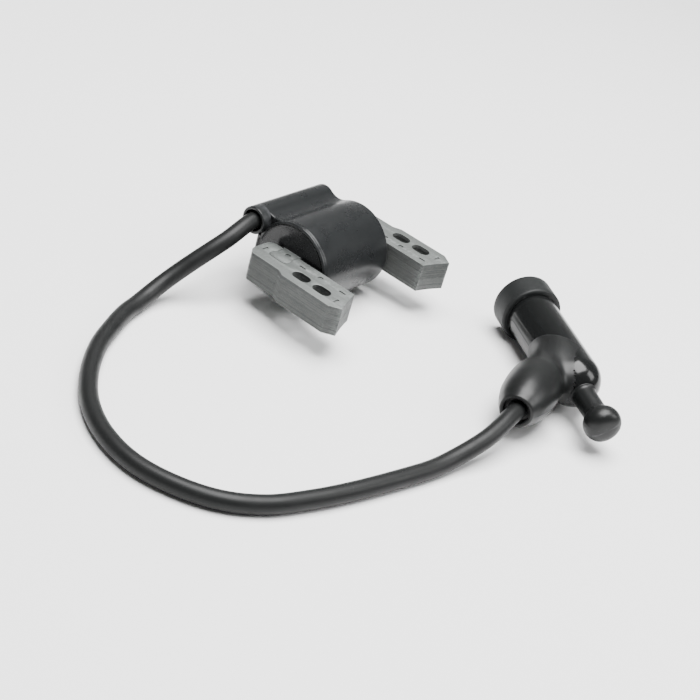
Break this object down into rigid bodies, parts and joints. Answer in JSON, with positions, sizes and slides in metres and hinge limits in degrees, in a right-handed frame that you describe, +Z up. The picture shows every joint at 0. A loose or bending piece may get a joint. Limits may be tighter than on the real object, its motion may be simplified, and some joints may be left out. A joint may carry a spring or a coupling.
{
  "type": "ignition coil",
  "caption": "Flywheel magneto ignition coil: slotted laminated legs, potted coil drum with lead tower, and a high tension lead ending in an angled spark plug cap.",
  "frame": {"origin": "centre of the four mounting slots, on the underside of the legs", "axes": "+X along the legs towards the flywheel, +Y from the left leg to the right leg, +Z up through the lamination stack"},
  "size_m": [0.1724, 0.2235, 0.0369],
  "materials": {
    "core_steel": "dull grey electrical steel, cut edges showing the sheets",
    "crossbar_steel": "dull grey electrical steel",
    "housing_plastic": "glossy black moulded plastic",
    "resin": "black casting resin",
    "bobbin_plastic": "natural nylon",
    "copper_wire": "enamelled copper",
    "board": "green circuit board",
    "chip_plastic": "black moulded package",
    "capacitor_ceramic": "tan ceramic chip",
    "tinned_copper": "tinned copper strip",
    "terminal_brass": "plain brass",
    "lead_rubber": "black rubber jacket",
    "cap_rubber": "smooth black moulded rubber",
    "seal_rubber": "satin black rubber",
    "resistor_ceramic": "cream ceramic",
    "spring_steel": "bright spring wire"
  },
  "bodies": {
    "coil": {"left_leg_laminations": "core_steel", "right_leg_laminations": "core_steel", "crossbar_laminations": "crossbar_steel", "coil_housing": "housing_plastic", "potting_resin": "resin", "primary_bobbin": "bobbin_plastic", "primary_winding": "copper_wire", "secondary_bobbin": "bobbin_plastic", "secondary_winding": "copper_wire", "control_board": "board", "switching_transistor": "chip_plastic", "bias_resistor": "chip_plastic", "trigger_capacitor": "capacitor_ceramic", "ground_strap": "tinned_copper", "tower_terminal": "terminal_brass", "high_tension_link": "terminal_brass", "lead_jacket": "lead_rubber", "lead_conductor": "copper_wire"},
    "cap": {"cap_shell": "cap_rubber", "plug_seal": "seal_rubber", "lead_boot": "cap_rubber", "pull_knob": "cap_rubber", "lead_screw": "terminal_brass", "cap_resistor": "resistor_ceramic", "contact_spring": "spring_steel", "plug_clip": "terminal_brass", "clip_ring": "spring_steel"}
  },
  "joints": [
    {"name": "cap_swivel", "type": "hinge", "parent": "coil", "child": "cap", "pos_m": [0.08586, 0.00942, 0.00115], "axis": [0.2453, -0.9694, 0], "range_deg": [-180, 180]}
  ]
}
